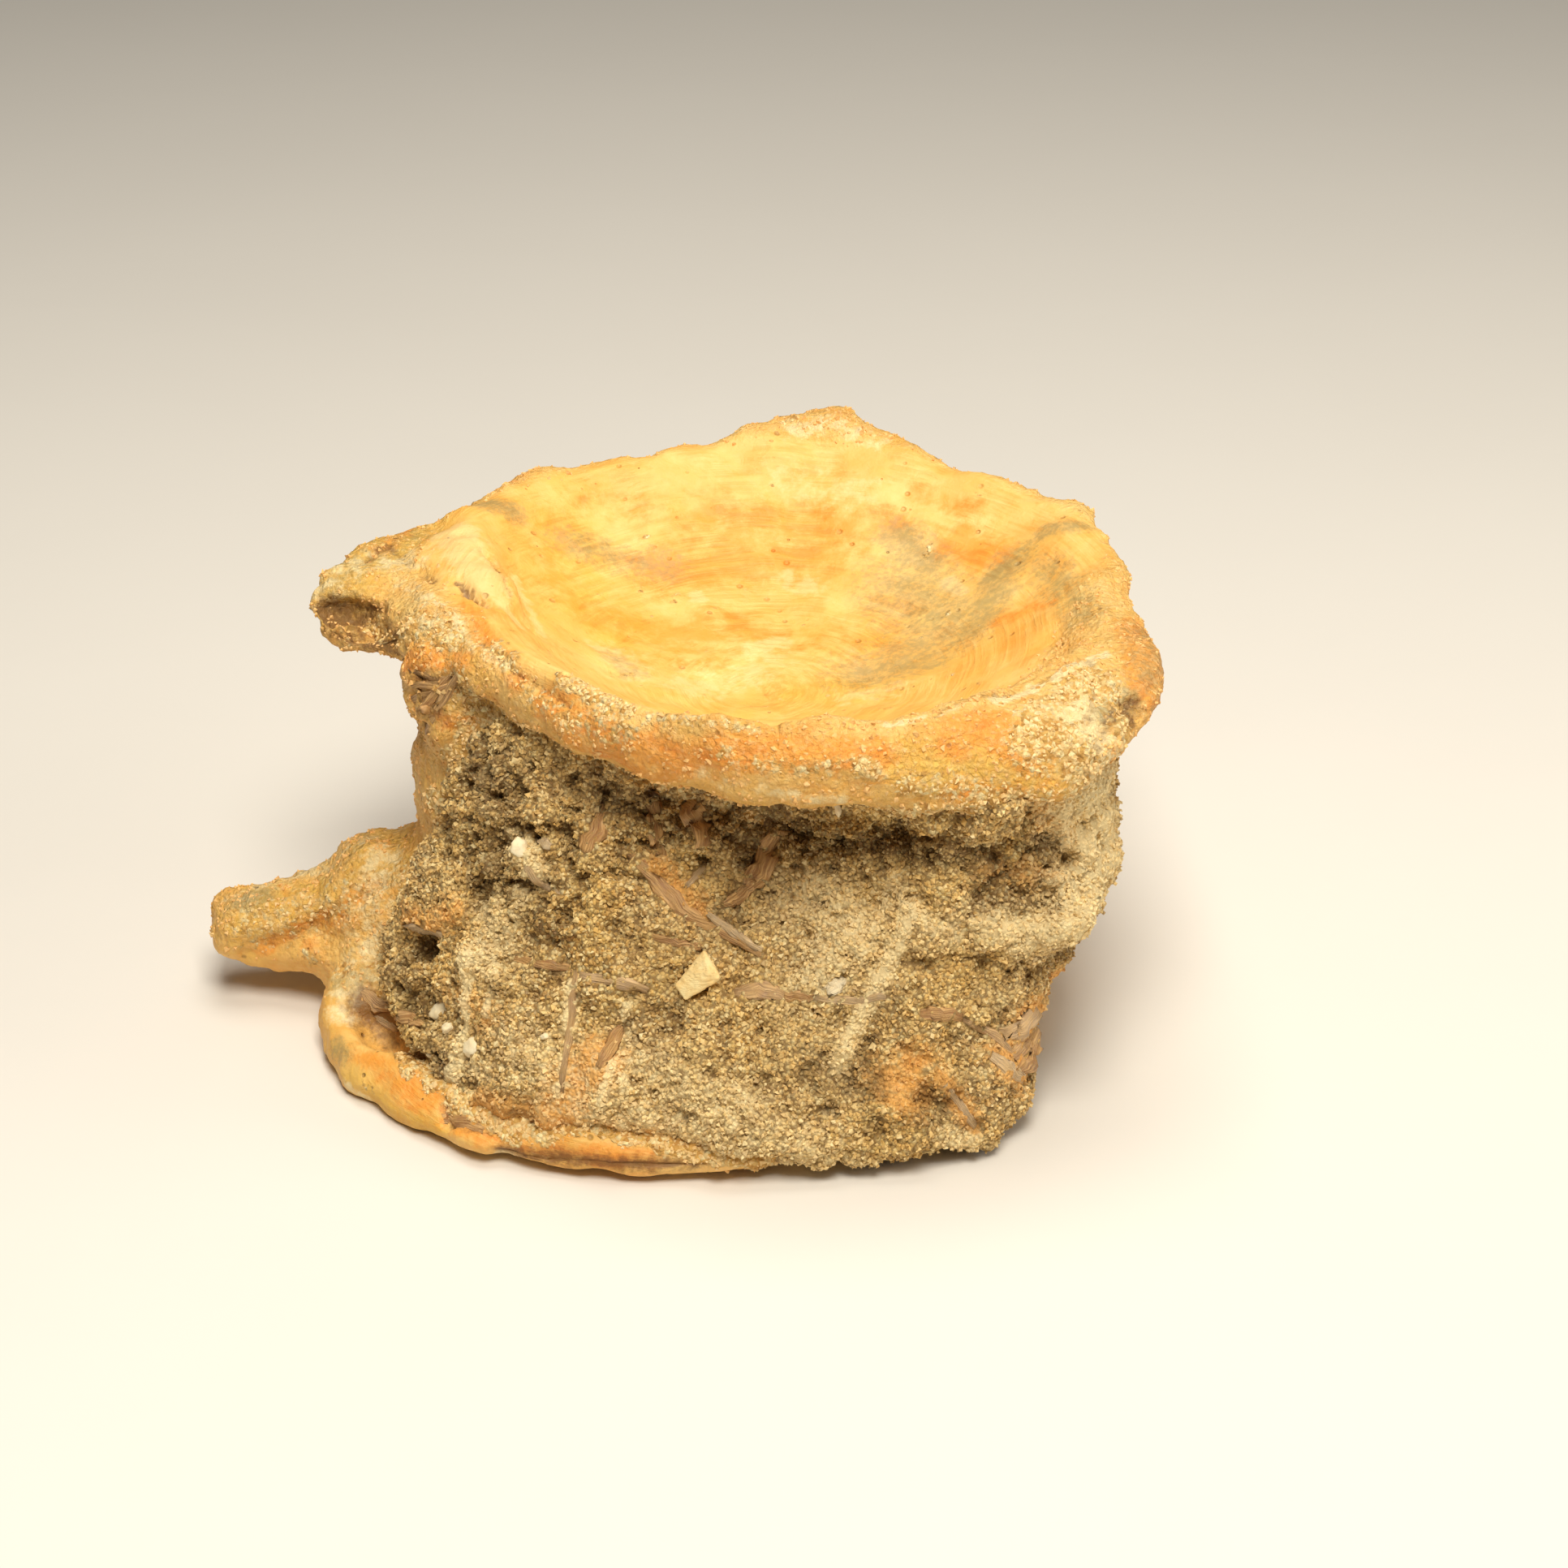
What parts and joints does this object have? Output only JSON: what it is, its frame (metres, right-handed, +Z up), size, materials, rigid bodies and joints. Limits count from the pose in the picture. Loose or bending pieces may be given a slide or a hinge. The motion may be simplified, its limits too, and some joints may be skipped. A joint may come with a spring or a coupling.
{
  "type": "fossil vertebra",
  "caption": "Fossil mosasaur vertebra standing on one dished end, with a pinched waist, broken side growths and sandy rock matrix still packed round its front.",
  "frame": {"origin": "on the table under the middle of the specimen's bounding box", "axes": "+Z up from the table through the centrum, +X to the right along the longest extent, -Y towards the side with the matrix, which is the front"},
  "size_m": [0.0611, 0.0536, 0.0308],
  "materials": {
    "fossil_bone": "ochre to orange mineralised bone, satin on the rims, with cream chalky patches and grey-green stains",
    "sandy_matrix": "matt phosphatic sand, straw to brown grains with chalky dust between them",
    "pale_bone": "pale yellow splintered bone, dull"
  },
  "bodies": {
    "root": {"vertebra": "fossil_bone", "matrix": "sandy_matrix", "bone_chip": "pale_bone"}
  },
  "joints": []
}
